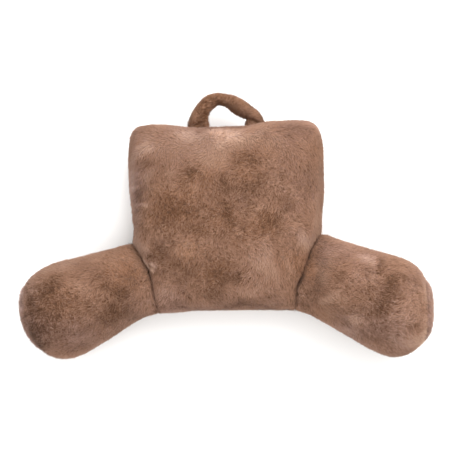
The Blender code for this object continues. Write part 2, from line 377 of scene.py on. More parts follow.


# creases on the upper side, each running out at both of its ends; each crease also gets painted shade, and
# a fold that stands up a painted highlight
def creased(mesh, lines, lowest, darken=40):
    points, normals = surface(mesh)
    shade = np.zeros(len(points))
    upper = smooth((points[:, 2] - lowest) / 0.02)
    for x1, y1, x2, y2, width, depth in lines:
        away, share = nearestOnLine(points, [(x1, y1), (x2, y2)])
        ends = np.sqrt(np.sin(np.pi * np.clip(share * 0.9 + 0.05, 0, 1)))
        bell = fade(away, width) * upper * ends
        points -= normals * (depth * bell)[:, None]
        # painted shade along a crease, or a painted highlight along a raised fold, by its depth times
        # darken
        shade -= bell * depth * darken
    setPoints(mesh, points)
    return shade


# 1 at the middle of a patch in plan, near nothing beyond its half width and half height
def patchOver(points, x, y, wide, high, edge, wander=(0.0, 0.0)):
    reach = np.hypot((points[:, 0] + wander[0] - x) / wide, (points[:, 1] + wander[1] - y) / high)
    return np.exp(-(reach**edge))


# small shifts in plan by dx, dy, in patches around x, y
def nudged(points, rows):
    moved = points.copy()
    for x, y, wide, high, dx, dy in rows:
        bell = patchOver(points, x, y, wide, high, 2)
        moved[:, 0] += dx * bell
        moved[:, 1] += dy * bell
    return moved


lying = {  # how the pile of every cloth lies
    "patchTone": 1.3,
    "patchRough": 4.2,  # darker patches are rougher, lighter ones smoother
    "edges": {"patches": 3.4, "ruffled": 3, "tints": 2.2},  # how sharply placed areas end
    "wander": ((0.007, 0.030), (0.003, 0.012)),  # heights and sizes of the waves on their edges
    "blotches": ((0.044, 0.055), (0.036, 0.020)),  # and of the waves in the tone
    "roughness": 0.30,
    "topRough": 0.34,  # how much rougher it is where it faces up
    "roughWaves": 0.14,
    "roughLimits": (0.03, 1.6),
    "toneLimits": (0.05, 0.95),
    "tint": 1.1,
    "tintWaves": 0.35,
}


# one side's values out of a dictionary that holds both
def sideOf(cloth, side):
    return {key: value[side] if isinstance(value, dict) else value for key, value in cloth.items()}


# how the pile lies, as fields on the cloth's own points
def pileFields(mesh, cloth, brush, shade, length, density):
    points, seed, edges = meshPoints(mesh), cloth["seed"], lying["edges"]
    upper = smooth((points[:, 2] - 0.06) / 0.05)
    level = smooth((meshNormals(mesh)[:, 2] - 0.55) / 0.4)
    wander = [wavesOf(points, lying["wander"], seed + part, 6) for part in (3, 4)]
    edge = edges["patches"]
    lifts = [lift * patchOver(points, *place, edge, wander) for *place, lift in cloth["patches"]]
    lifted = sum(lifts) * upper
    roughField = lying["roughness"] + lying["topRough"] * level
    roughField -= lying["roughWaves"] * waves(points, 0.045, seed + 2)
    roughField -= lying["patchRough"] * lifted
    for *place, change in cloth.get("ruffled", []):
        roughField += change * patchOver(points, *place, edges["ruffled"], wander)
    roughField = np.clip(roughField, *lying["roughLimits"])
    blotches = wavesOf(points, lying["blotches"], seed)
    # the tone holds the pile's own mottling together with painted shade and painted highlights from the
    # shade field and the patches
    toneField = cloth["tone"] + shade + lying["patchTone"] * lifted + blotches * (0.4 + 0.8 * roughField)
    tint = lying["tint"] + lying["tintWaves"] * waves(points, 0.060, seed + 5)
    for *place, lift in cloth["tints"]:
        tint += lift * patchOver(points, *place, edges["tints"], wander[::-1])
    direction = np.tile(np.array(brush, float), (len(points), 1)) if np.ndim(brush) == 1 else brush
    fields = {"Tint": tint, "Brush": direction, "Tone": np.clip(toneField, *lying["toneLimits"]),
              "Rough": roughField, "Length": length, "Density": density}
    for label, values in fields.items():
        writeAttribute(mesh, "pile" + label, values)


armSeams = {  # where each arm is sewn to the back, from below upwards, metres in plan
    "left": [(-0.156, -0.196), (-0.166, -0.147), (-0.178, -0.103), (-0.209, -0.044)],
    "right": [(0.159, -0.192), (0.162, -0.152), (0.185, -0.092), (0.210, -0.025)],
}
seamHeight, seamDepth = 0.074, 0.056  # middle and half height of the patch in which an arm is sewn on
# the darkness of the pile in an arm's seam is painted shade, where the arm meets the back
seamWidth, seamShade, seamShort = 0.0044, 0.70, 0.5  # how far, dark and short the pile lies in it
endSeamWidth = 0.0035  # how far it does along an end panel
seamOpen = {"left": (0.56, 0.20), "right": (0.62, 0.30)}  # where along it the seam gapes, and how far


def nearestSeam(points):
    left, right = nearestOnLine(points, armSeams["left"]), nearestOnLine(points, armSeams["right"])
    nearer = left[0] < right[0]
    return np.where(nearer, left[0], right[0]), np.where(nearer, left[1], right[1])


# how far the seam gapes at a share of its length, which also sets how strong its painted shade is
def seamGape(share, side):
    middle, spread = seamOpen[side]
    return 0.25 + 0.75 * fade(share - middle, spread)


# 1 inside the patch that an arm covers, 0 outside it
def underArm(points, away, share):
    ring = np.sqrt((share * 2 - 1) ** 2 + ((points[:, 2] - seamHeight) / seamDepth) ** 2)
    return smooth((1.04 - ring) / 0.12) * smooth((0.016 - away) / 0.006)


# the pile is pressed shorter near the surface
def pressed(length, points, normals):
    return length * (1 - 0.4 * (smooth((0.02 - points[:, 2]) / 0.015) * (normals[:, 2] < 0)))


# no tufts inside another piece, and fewer underneath
def thinned(gap, normals, facing, share):
    return (gap > hiddenGap) * np.where(normals[:, 2] < facing, share, 1.0)


backCloth = {
    "weave": (0.006, 6),  # size of its squares, and rounds of evening out
    "inset": 0.0046,  # how far the cloth starts inside the pile's tips
    "flatInset": 0.002,  # the same where it lies on the surface
    "lump": (0.0012, 5),  # height and seed of the filling's lumps
    "tone": 0.485,
    "seed": 50,
    "under": (-0.5, 0.45),  # where it faces down more than this, the share of tufts that is left
    "strip": (0.110, 0.004),  # height and width of the side strip's seam at the lower edge
    # stripShade is painted shade along the side strip's seam
    "stripShade": 0.15,
    "stripShort": 0.25,
    "brush": 0.45,  # how strongly the pile is brushed towards the lower edge
    "rimBrush": 0.4,  # and outward beyond the top edge
    "seamBrush": (0.8, 0.010),  # and away from an arm's seam, and how far from it
    "nudges": [
        (0, 0.23, 0.3, 0.06, 0.0015, 0.002), (0, 0.225, 0.07, 0.03, 0, 0.0035),
        (0.215, 0.08, 0.04, 0.11, 0.0044, 0), (-0.215, 0.1, 0.04, 0.08, 0.0026, 0),
        (0.205, 0.225, 0.02, 0.02, -0.0026, -0.0022), (-0.205, -0.015, 0.02, 0.03, 0.0018, 0),
        (-0.148, -0.192, 0.014, 0.014, 0.0015, -0.0024), (0.151, -0.19, 0.01, 0.01, 0.004, 0.001),
        (0, -0.19, 0.13, 0.02, 0, 0.004), (0.212, -0.005, 0.02, 0.045, 0.003, 0),
        (0.13, -0.19, 0.05, 0.02, 0, 0.0022), (-0.215, 0.19, 0.02, 0.03, 0.0014, 0),
        (0.215, 0.165, 0.03, 0.03, 0.0014, 0), (0.166, -0.125, 0.03, 0.065, 0.0045, 0),
    ],
    # these patches are partly the pile's own mottled tone, partly painted shade under lumps and in hollows
    # and painted highlights on folds and towards the top edge
    "patches": [  # x, y, half width, half height, how much lighter or darker the pile lies there
        (0.046, 0.137, 0.038, 0.024, -0.17), (-0.069, 0.109, 0.018, 0.014, -0.14),
        (-0.004, 0.082, 0.018, 0.022, -0.1), (0.053, 0.082, 0.027, 0.022, -0.1),
        (-0.113, 0.032, 0.048, 0.03, -0.11), (-0.097, 0.017, 0.018, 0.016, -0.09),
        (0.002, 0.004, 0.013, 0.044, -0.13), (0.09, 0, 0.024, 0.034, -0.17),
        (0.12, 0.023, 0.013, 0.01, -0.11), (-0.056, -0.02, 0.03, 0.015, -0.08),
        (-0.147, -0.075, 0.026, 0.012, -0.12), (-0.026, -0.114, 0.046, 0.026, -0.13),
        (0.026, -0.119, 0.01, 0.013, -0.13), (0.008, -0.124, 0.009, 0.014, 0.07),
        (-0.168, 0.13, 0.016, 0.016, -0.08), (0.178, 0.082, 0.014, 0.034, -0.06),
        (-0.134, -0.041, 0.03, 0.018, -0.06), (-0.13, -0.099, 0.028, 0.012, -0.07),
        (0.18, -0.01, 0.016, 0.03, -0.05), (0.06, 0.05, 0.06, 0.036, -0.05),
        (-0.076, 0.186, 0.03, 0.018, 0.17), (-0.005, 0.186, 0.038, 0.02, 0.23),
        (0.056, 0.19, 0.02, 0.014, 0.08), (-0.016, 0.142, 0.048, 0.036, 0.14),
        (-0.12, 0.16, 0.07, 0.04, 0.08), (-0.176, 0.164, 0.02, 0.008, 0.08),
        (-0.066, 0.072, 0.018, 0.015, 0.11), (0.08, 0.03, 0.02, 0.014, 0.12),
        (0.134, -0.006, 0.018, 0.012, 0.04), (0.052, -0.042, 0.024, 0.01, 0.08),
        (-0.066, -0.052, 0.045, 0.016, 0.05), (0.092, -0.092, 0.042, 0.042, 0.12),
        (0.03, -0.168, 0.15, 0.012, -0.05), (0.14, 0.15, 0.05, 0.05, 0.03),
        (-0.17, -0.084, 0.008, 0.011, 0.26), (-0.161, -0.094, 0.011, 0.005, 0.34),
        (-0.152, -0.089, 0.007, 0.005, 0.22), (0, 0.06, 0.2, 0.4, -0.02), (0.06, 0.18, 0.07, 0.026, 0.1),
        (-0.172, -0.044, 0.032, 0.026, 0.16), (-0.075, -0.09, 0.024, 0.02, -0.04),
        (0.2, -0.01, 0.022, 0.07, 0.09), (-0.172, 0.101, 0.018, 0.018, 0.1),
        (-0.122, 0.086, 0.03, 0.022, 0.04), (-0.213, 0.05, 0.02, 0.08, 0.24),
        (-0.076, 0.095, 0.026, 0.06, -0.08), (-0.098, 0.002, 0.046, 0.035, -0.1),
        (0.047, -0.022, 0.038, 0.022, -0.12), (0.19, 0.105, 0.032, 0.06, -0.06),
        (0.156, -0.094, 0.013, 0.024, -0.07), (-0.128, -0.028, 0.024, 0.018, -0.08),
        (-0.122, -0.152, 0.028, 0.022, 0.12), (-0.034, -0.15, 0.028, 0.024, -0.09),
        (0.166, -0.036, 0.022, 0.022, 0.17), (0, 0.012, 0.04, 0.03, -0.04),
        (0.045, -0.142, 0.042, 0.022, 0.1), (-0.186, 0.041, 0.014, 0.0035, 0.22),
        (-0.193, 0.08, 0.011, 0.0035, 0.2), (-0.19, 0.066, 0.013, 0.004, -0.14),
        (-0.184, 0.053, 0.014, 0.005, -0.1), (0.15, 0.2, 0.045, 0.022, -0.05),
        (-0.19, 0.19, 0.028, 0.03, 0.06),
    ],
    "tints": [  # the same, with how much greyer or browner it is
        (-0.105, 0.018, 0.06, 0.045, -0.9), (0.09, -0.005, 0.032, 0.03, -0.8),
        (-0.006, 0.02, 0.03, 0.045, -0.9), (0.04, 0.1, 0.042, 0.04, -0.7), (-0.07, 0.09, 0.04, 0.06, -0.5),
        (0.164, -0.091, 0.025, 0.03, -0.7), (-0.068, -0.064, 0.03, 0.02, -0.6),
        (-0.205, 0.08, 0.028, 0.13, 1.0), (0.04, 0.205, 0.16, 0.025, 0.7),
        (-0.125, -0.16, 0.04, 0.025, 0.8), (-0.12, 0.15, 0.05, 0.04, 0.3), (0.205, 0.12, 0.025, 0.06, -0.4),
        (0, -0.19, 0.17, 0.02, 0.8), (-0.15, 0.07, 0.022, 0.022, -0.6), (-0.022, -0.112, 0.04, 0.025, -0.6),
        (0.158, -0.033, 0.025, 0.022, 0.7),
    ],
    "ruffled": [  # the same, with how much rougher or smoother it is
        (0, 0.215, 0.3, 0.075, -0.5), (-0.11, 0.15, 0.08, 0.045, -0.3), (0.19, 0.08, 0.055, 0.12, -0.45),
        (0.105, -0.16, 0.065, 0.032, -0.3), (-0.18, -0.01, 0.03, 0.06, 0.3), (0, 0.02, 0.11, 0.11, 0.12),
    ],
    # the depth also sets the painted shade in a crease, or the painted highlight on a fold that stands up
    "creases": [  # x, y, x, y, width, depth: a fold that stands up has a depth below nothing
        (-0.204, 0.086, -0.18, 0.088, 0.0045, 0.0034), (-0.205, 0.071, -0.178, 0.075, 0.0045, 0.0036),
        (-0.206, 0.056, -0.18, 0.061, 0.0045, 0.0034), (-0.204, 0.04, -0.178, 0.047, 0.0045, 0.0036),
        (-0.203, 0.026, -0.182, 0.031, 0.0045, 0.0028), (-0.181, -0.03, -0.08, -0.112, 0.011, 0.0035),
        (-0.176, -0.079, -0.14, -0.1, 0.007, -0.003), (-0.168, -0.09, -0.138, -0.11, 0.005, 0.0028),
        (-0.204, 0.14, -0.156, 0.17, 0.009, -0.0026), (-0.196, 0.124, -0.158, 0.146, 0.008, 0.0024),
        (0.096, -0.042, 0.126, -0.114, 0.008, 0.0022), (0.028, -0.112, 0.026, -0.128, 0.008, 0.0034),
        (-0.062, -0.11, -0.058, -0.165, 0.005, 0.0012), (-0.034, -0.104, -0.03, -0.168, 0.005, 0.0014),
        (-0.006, -0.112, -0.008, -0.16, 0.006, 0.0016), (0.018, -0.13, 0.014, -0.17, 0.005, 0.0012),
        (-0.008, 0.205, -0.01, 0.17, 0.006, 0.0018), (-0.206, 0.098, -0.184, 0.1, 0.004, 0.003),
        (0.163, -0.117, 0.148, -0.145, 0.0036, 0.0036), (0.194, -0.06, 0.168, -0.11, 0.004, 0.0022),
    ],
}


def buildBackCloth():
    piece = clothCopy("back_cushion", "back_cloth")
    mesh = piece.data
    points, normals = nudged(meshPoints(mesh), backCloth["nudges"]), meshNormals(mesh)
    away, share = nearestSeam(points)
    inset = np.full(len(points), backCloth["inset"])
    inset[(points[:, 2] < restHeight) & (normals[:, 2] < -0.9)] = backCloth["flatInset"]
    inset *= 1 - underArm(points, away, share)
    setPoints(mesh, points - normals * inset[:, None])
    mesh = rewoven(piece, *backCloth["weave"])
    points = meshPoints(mesh)
    away, share = nearestSeam(points)
    pinned = np.maximum(1 - smooth((away - 0.006) / 0.02), (points[:, 2] < heldHeight) * 1.0)
    swollen(piece, pinned)
    mesh = softened(piece, *backCloth["lump"])
    print("back cloth", len(mesh.polygons), "faces")
    return piece, creased(mesh, backCloth["creases"], 0.06, 60)


def combBack(piece, shade, arms, handle):
    points, normals = surface(piece.data)
    _, share = nearestSeam(points)
    gape = np.where(points[:, 0] < 0, seamGape(share, "left"), seamGape(share, "right"))
    gap = gapTo(points, arms)
    stripHeight, stripWidth = backCloth["strip"]
    strip = fade(points[:, 2] - stripHeight, stripWidth) * smooth((-0.165 - points[:, 1]) / 0.01)
    # painted shade: the pile is darkened in the arms' seams and along the side strip's seam
    shade = shade - seamShade * gape * fade(gap, seamWidth) - backCloth["stripShade"] * strip
    length = 1 - seamShort * gape * fade(gap, 0.005) - backCloth["stripShort"] * strip
    rim = smooth(normals[:, 1] / 0.6)
    outward = backCloth["rimBrush"] * np.clip(points[:, 0] / 0.05, -1, 1)
    brush = np.stack([outward * rim, -backCloth["brush"] * (1 - rim), 0 * rim], axis=1)
    pull, reach = backCloth["seamBrush"]
    for seam in armSeams.values():
        brush += awayFrom(points, seam) * (pull * gape * fade(gap, reach))[:, None]
    length = pressed(length, points, normals)
    density = thinned(np.minimum(gap, gapTo(points, [handle])), normals, *backCloth["under"])
    pileFields(piece.data, backCloth, brush, shade, length, density)


armCloth = {
    "weave": (0.006, 3),
    "inset": 0.0058,
    "flatLift": 0.002,  # how far it is lifted where it lies on the surface
    "tuckIn": 0.009,  # how far the arm is pressed into the back
    "lump": {"left": (0.0022, 8), "right": (0.0022, 9)},
    "tone": 0.47,
    "seed": {"left": 60, "right": 70},
    "under": (-0.6, 0.5),
    # the arm's side of its seam gets painted shade too
    "seamShare": 0.6,  # how dark the arm's side of its seam is, against the back's side
    # painted shade along the end panel's seam: the pile there is darker
    "endShade": 0.12,  # how much darker and shorter the pile is along the end panel's seam
    "endShort": 0.12,
    "brush": 0.45,  # how strongly the pile is brushed towards the end panel
    "seamBrush": (0.7, 0.008),
    "tints": {
        "left": [
            (-0.41, -0.245, 0.035, 0.05, 1.5), (-0.206, -0.118, 0.045, 0.035, -0.9),
            (-0.42, -0.15, 0.025, 0.03, 0.7), (-0.33, -0.24, 0.09, 0.04, 0.8),
        ],
        "right": [
            (0.42, -0.11, 0.04, 0.04, 0.9), (0.3, -0.24, 0.12, 0.038, 1.1), (0.24, -0.06, 0.08, 0.03, 0.6),
            (0.33, -0.13, 0.04, 0.035, -0.3), (0.41, -0.252, 0.036, 0.028, -0.9),
            (0.18, -0.09, 0.013, 0.05, -0.9),
        ],
    },
    "ruffled": {
        "left": [(-0.28, -0.095, 0.11, 0.045, -0.22), (-0.415, -0.205, 0.06, 0.085, 0.35)],
        "right": [
            (0.26, -0.08, 0.12, 0.042, -0.4), (0.4, -0.09, 0.04, 0.03, -0.25),
            (0.32, -0.21, 0.085, 0.045, 0.45),
        ],
    },
    "nudges": {
        "left": [
            (-0.24, -0.05, 0.05, 0.025, 0, -0.0044), (-0.38, -0.282, 0.05, 0.04, 0.0026, 0.004),
            (-0.285, -0.258, 0.035, 0.025, 0, 0.0042), (-0.205, -0.212, 0.035, 0.02, 0, -0.002),
            (-0.365, -0.085, 0.03, 0.02, 0, 0.0014), (-0.45, -0.165, 0.02, 0.03, 0.0016, 0),
            (-0.156, -0.19, 0.024, 0.022, 0.0065, 0),
        ],
        "right": [
            (0.224, -0.208, 0.055, 0.03, 0, 0.007), (0.4, -0.08, 0.03, 0.03, -0.0012, -0.0012),
            (0.3, -0.245, 0.05, 0.025, 0, 0.002), (0.3, -0.05, 0.05, 0.02, 0, -0.0016),
            (0.423, -0.096, 0.014, 0.014, -0.0012, -0.001), (0.166, -0.125, 0.03, 0.065, 0.0045, 0),
            (0.443, -0.12, 0.014, 0.016, 0.0012, 0.0006), (0.185, -0.188, 0.024, 0.016, 0, 0.0016),
            (0.44, -0.232, 0.02, 0.028, 0.0024, -0.001),
        ],
    },
    # arm patches: partly the pile's own mottled tone, partly painted shade under lumps and painted
    # highlights on folds
    "patches": {
        "left": [
            (-0.376, -0.148, 0.026, 0.019, -0.17), (-0.359, -0.131, 0.014, 0.012, -0.11),
            (-0.352, -0.159, 0.03, 0.011, -0.09), (-0.408, -0.18, 0.015, 0.015, -0.3),
            (-0.388, -0.196, 0.02, 0.009, -0.22), (-0.231, -0.147, 0.022, 0.013, -0.15),
            (-0.4, -0.24, 0.015, 0.03, -0.2), (-0.386, -0.264, 0.02, 0.014, -0.14),
            (-0.392, -0.214, 0.05, 0.045, -0.09), (-0.33, -0.172, 0.034, 0.022, -0.07),
            (-0.21, -0.202, 0.036, 0.018, -0.12), (-0.36, -0.2, 0.026, 0.02, -0.06),
            (-0.23, -0.183, 0.024, 0.016, -0.13), (-0.256, -0.206, 0.023, 0.014, -0.11),
            (-0.264, -0.126, 0.021, 0.014, -0.08), (-0.37, -0.222, 0.03, 0.022, -0.06),
            (-0.396, -0.248, 0.018, 0.024, -0.11), (-0.305, -0.138, 0.032, 0.022, 0.09),
            (-0.261, -0.078, 0.08, 0.014, 0.05), (-0.196, -0.154, 0.022, 0.017, 0.07),
            (-0.305, -0.25, 0.042, 0.02, 0.04), (-0.43, -0.174, 0.008, 0.022, 0.12),
            (-0.418, -0.212, 0.01, 0.012, 0.1), (-0.345, -0.19, 0.076, 0.042, -0.09),
            (-0.352, -0.102, 0.04, 0.014, 0.09),
        ],
        "right": [
            (0.296, -0.088, 0.024, 0.015, 0.19), (0.226, -0.052, 0.042, 0.013, 0.03),
            (0.217, -0.078, 0.026, 0.02, 0.07), (0.308, -0.149, 0.032, 0.02, -0.1),
            (0.272, -0.207, 0.03, 0.014, 0.1), (0.432, -0.245, 0.016, 0.026, 0.16),
            (0.34, -0.212, 0.075, 0.01, 0.07), (0.4, -0.255, 0.03, 0.02, 0.07),
            (0.325, -0.094, 0.012, 0.014, -0.14), (0.359, -0.118, 0.02, 0.012, -0.14),
            (0.347, -0.144, 0.02, 0.021, -0.14), (0.327, -0.181, 0.024, 0.022, -0.16),
            (0.307, -0.217, 0.013, 0.011, -0.1), (0.244, -0.118, 0.012, 0.014, -0.11),
            (0.186, -0.154, 0.015, 0.013, -0.06), (0.24, -0.162, 0.045, 0.018, 0.07),
            (0.213, -0.17, 0.017, 0.015, 0.09), (0.387, -0.185, 0.025, 0.025, 0.06),
            (0.42, -0.23, 0.01, 0.03, 0.1), (0.42, -0.136, 0.012, 0.044, 0.12),
            (0.236, -0.2, 0.026, 0.013, 0.05), (0.175, -0.2, 0.02, 0.014, -0.16),
            (0.29, -0.24, 0.052, 0.011, -0.04), (0.385, -0.095, 0.03, 0.018, 0.07),
            (0.208, -0.112, 0.018, 0.024, 0.09), (0.388, -0.25, 0.056, 0.024, 0.07),
            (0.27, -0.222, 0.034, 0.016, 0.05), (0.412, -0.262, 0.03, 0.026, 0.07),
        ],
    },
    "creases": {
        "left": [
            (-0.428, -0.204, -0.408, -0.2, 0.005, 0.003), (-0.426, -0.22, -0.406, -0.213, 0.005, 0.0026),
            (-0.406, -0.167, -0.37, -0.2, 0.006, -0.0032), (-0.412, -0.18, -0.388, -0.204, 0.005, 0.0026),
            (-0.172, -0.16, -0.196, -0.166, 0.006, 0.002), (-0.184, -0.11, -0.21, -0.116, 0.006, 0.002),
            (-0.256, -0.208, -0.202, -0.135, 0.012, 0.003), (-0.366, -0.228, -0.378, -0.214, 0.004, -0.002),
        ],
        "right": [
            (0.166, -0.148, 0.19, -0.156, 0.006, 0.0022), (0.188, -0.096, 0.212, -0.102, 0.006, 0.0018),
            (0.162, -0.168, 0.186, -0.174, 0.005, 0.0018), (0.325, -0.08, 0.33, -0.13, 0.01, 0.002),
            (0.352, -0.11, 0.322, -0.19, 0.011, 0.0026), (0.3, -0.168, 0.28, -0.16, 0.004, -0.0018),
        ],
    },
}


# root and direction of an arm
def armAxis(side):
    seam = np.array(armSeams[side])
    root = np.append((seam[0] + seam[-1]) / 2, seamHeight)
    low, high = (np.array(corner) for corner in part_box(f"arm_cap_{side}"))
    run = (low + high) / 2 - root
    return root, run / np.linalg.norm(run)


def buildArmCloth(side):
    piece = clothCopy(f"arm_{side}", f"arm_cloth_{side}")
    mesh = piece.data
    root, axis = armAxis(side)
    points = nudged(meshPoints(mesh), armCloth["nudges"][side])
    along = (points - root) @ axis
    away, _ = nearestOnLine(points, armSeams[side])
    spoke = points - root - along[:, None] * axis
    radius = np.linalg.norm(spoke, axis=1)
    inset = armCloth["inset"] * (0.3 + 0.7 * smooth(away / 0.03))
    move = -spoke / np.maximum(radius, 1e-6)[:, None] * np.minimum(inset, radius * 0.5)[:, None]
    move[:, 2] = np.where(points[:, 2] < restHeight, armCloth["flatLift"], move[:, 2])
    move -= axis * (armCloth["tuckIn"] * (1 - smooth((away - 0.001) / 0.016)))[:, None]
    setPoints(mesh, points + move)
    mesh = rewoven(piece, *armCloth["weave"])
    points = meshPoints(mesh)
    away, _ = nearestOnLine(points, armSeams[side])
    pinned = np.maximum(1 - smooth(away / 0.012), (points[:, 2] < heldHeight) * 1.0)
    swollen(piece, pinned)
    mesh = softened(piece, *armCloth["lump"][side])
    print("arm cloth", side, len(mesh.polygons), "faces")
    return piece, creased(mesh, armCloth["creases"][side], 0.09)


def combArm(piece, shade, side, back, endPanel):
    _, axis = armAxis(side)
    points, normals = surface(piece.data)
    _, share = nearestOnLine(points, armSeams[side])
    gape = seamGape(share, side)
    gap, endGap = gapTo(points, [back]), gapTo(points, [endPanel])
    endSeam = fade(endGap, endSeamWidth)
    # painted shade in the seam to the back, and along the end panel's seam
    shade = shade - armCloth["seamShare"] * seamShade * gape * fade(gap, seamWidth)
    shade = shade - armCloth["endShade"] * endSeam
    length = 1 - seamShort * gape * fade(gap, 0.004) - armCloth["endShort"] * endSeam
    length = pressed(length, points, normals)
    density = thinned(np.minimum(gap, endGap), normals, *armCloth["under"])
    pull, reach = armCloth["seamBrush"]
    leaving = awayFrom(points, armSeams[side]) * (pull * gape * fade(gap, reach))[:, None]
    brush = leaving + axis * armCloth["brush"]
    pileFields(piece.data, sideOf(armCloth, side), brush, shade, length, density)


capCloth = {
    "weave": (0.005, 3),
    "inset": 0.0064,
    "rimInset": 0.0045,
    "tuckIn": 0.008,  # how far the end panel's filling reaches into the arm
    # painted shade and light: the left end panel, turned from the light, has a darker and greyer tone,
    # lighter only towards its upper part; the right one, facing the light, a lighter tone
    "tone": {"left": 0.34, "right": 0.60},
    "seed": {"left": 80, "right": 90},
    "endShort": 0.08,
    "patches": {"left": [(-0.44, -0.16, 0.03, 0.036, 0.3)], "right": []},
    "tint": {"left": 1.8, "right": 1.0},
}


def buildCapCloth(side):
    piece = clothCopy(f"arm_cap_{side}", f"arm_cap_cloth_{side}")
    mesh = piece.data
    points, normals = nudged(meshPoints(mesh), armCloth["nudges"][side]), meshNormals(mesh)
    _, axis = armAxis(side)
    inside = normals @ axis < -0.2
    domed = 1 - smooth((np.linalg.norm(normals - axis, axis=1) - 0.2) / 0.9)
    move = -normals * (capCloth["rimInset"] + (capCloth["inset"] - capCloth["rimInset"]) * domed)[:, None]
    move[inside] = -axis * capCloth["tuckIn"]
    setPoints(mesh, points + move)
    mesh = rewoven(piece, *capCloth["weave"])
    softened(piece, 0.0, 0)
    return piece


def combCap(piece, side, arm):
    points, own = meshPoints(piece.data), sideOf(capCloth, side)
    gap = gapTo(points, [arm])
    endSeam = fade(gap, endSeamWidth)
    # painted shade along the seam to the arm
    shade, length = -0.5 * armCloth["endShade"] * endSeam, 1 - own["endShort"] * endSeam
    own["tints"] = [(points[:, 0].mean(), points[:, 1].mean(), 1.0, 1.0, own["tint"])]
    pileFields(piece.data, own, (0.0, -0.3, -0.3), shade, length, (gap > hiddenGap) * 1.0)


handleCloth = {
    "weave": (0.004, 2),
    "inset": 0.0022,
    "tuckIn": 0.010,  # how far each foot reaches into the back's seam
    "lump": (0.0006, 12),
    "tone": 0.29,
    "seed": 110,
    "pile": {"density": 280000.0, "length": 0.0075, "width": 0.0016, "toneSpread": 0.24},
    "footLines": (0.2215, 0.2265),  # the left and the right foot lie below these in plan
    "tints": [(-0.02, 0.26, 0.07, 0.3, -0.8)],
    "nudges": [
        (-0.064, 0.255, 0.03, 0.05, 0.0036, -0.001), (-0.042, 0.23, 0.008, 0.022, 0.0045, 0),
        (-0.006, 0.26, 0.009, 0.009, 0.0035, 0.001), (0.072, 0.24, 0.012, 0.016, 0.0025, 0),
        (0.036, 0.268, 0.034, 0.024, -0.0006, -0.0014), (0.02, 0.25, 0.022, 0.01, 0, -0.0018),
        (-0.014, 0.29, 0.018, 0.012, 0, 0.0016), (-0.086, 0.224, 0.008, 0.014, -0.0024, 0),
        (0.078, 0.23, 0.01, 0.012, 0.003, 0), (0.04, 0.232, 0.006, 0.012, -0.0024, 0),
    ],
    # handle patches: partly its own mottled tone, partly painted light on its outer side and painted shade
    # on its inner side and at its bends
    "patches": [
        (-0.042, 0.228, 0.005, 0.012, 0.2), (0.056, 0.228, 0.012, 0.004, 0.18),
        (-0.02, 0.272, 0.012, 0.008, -0.34), (0.018, 0.254, 0.026, 0.007, -0.1),
        (-0.074, 0.245, 0.007, 0.022, 0.28), (0.02, 0.28, 0.03, 0.006, 0.12),
        (-0.019, 0.283, 0.008, 0.007, -0.14), (0.056, 0.262, 0.012, 0.014, 0.16),
        (-0.046, 0.251, 0.007, 0.008, -0.28), (-0.06, 0.226, 0.01, 0.008, -0.12),
        (-0.058, 0.254, 0.026, 0.03, -0.1), (0.06, 0.245, 0.02, 0.016, 0.1),
        (-0.053, 0.277, 0.012, 0.007, 0.18), (-0.041, 0.267, 0.009, 0.01, -0.18),
    ],
    "creases": [
        (-0.047, 0.25, -0.05, 0.232, 0.003, 0.0034), (-0.05, 0.233, -0.07, 0.222, 0.003, 0.0036),
        (-0.024, 0.268, -0.016, 0.277, 0.003, 0.0032), (-0.022, 0.267, -0.008, 0.267, 0.0032, 0.0034),
        (0.042, 0.238, 0.06, 0.235, 0.003, 0.0036), (0.06, 0.235, 0.074, 0.229, 0.003, 0.0036),
        (0.043, 0.248, 0.046, 0.238, 0.0026, 0.002),
    ],
}


def buildHandleCloth():
    piece = clothCopy("handle", "handle_cloth")
    mesh = piece.data
    points, normals = nudged(meshPoints(mesh), handleCloth["nudges"]), meshNormals(mesh)
    foot = points[:, 1] < np.where(points[:, 0] < 0, *handleCloth["footLines"])
    move = -normals * handleCloth["inset"]
    move[foot, 1] = -handleCloth["tuckIn"]
    setPoints(mesh, points + move)
    mesh = rewoven(piece, *handleCloth["weave"])
    mesh = softened(piece, *handleCloth["lump"])
    return piece, creased(mesh, handleCloth["creases"], 0.06, 120)


def combHandle(piece, shade, back):
    points = meshPoints(piece.data)
    gap = gapTo(points, [back])
    # painted shade where the handle meets the back
    shade = shade - 0.15 * fade(gap, 0.003)
    length, density = np.ones(len(points)), (gap > hiddenGap) * 1.0
    pileFields(piece.data, handleCloth, (0.3, 0.0, 0.0), shade, length, density)


pile = {  # each of these is also an input of the node group that sows the tufts
    "density": 225000.0,  # tufts on a square metre
    "length": 0.0100,
    "width": 0.0019,
    "lean": 62.0,  # degrees from standing straight up
    "leanVary": 20.0,
    "sweep": 0.060,  # size of the areas that lean one way, metres
    "sweepPull": 0.70,
    "clump": 0.011,  # size of the tufts' clumps
    "clumpPull": 0.50,
    "stray": 0.55,
    "toneSpread": 0.155,
}

tufts = {  # how tufts vary; in the rough pairs, what roughness adds and what is there without it
    "leans": (20.0, 82.0),
    "tones": (0.03, 0.97),
    "widths": (0.75, 1.25),
    "lengths": (0.75, 1.2),
    "roughPull": (0.8, 0.45),
    "roughStray": (1.05, 0.12),
    "roughTone": (1.15, 0.15),
    "ownTones": (-0.85, 0.85),
    "specks": 0.15,  # share of the roughest pile that is dark specks
    "speckTone": -2.8,
    "upRow": (0.88, 0.06),  # the part of its tint's row that a tuft takes from root to tip
}


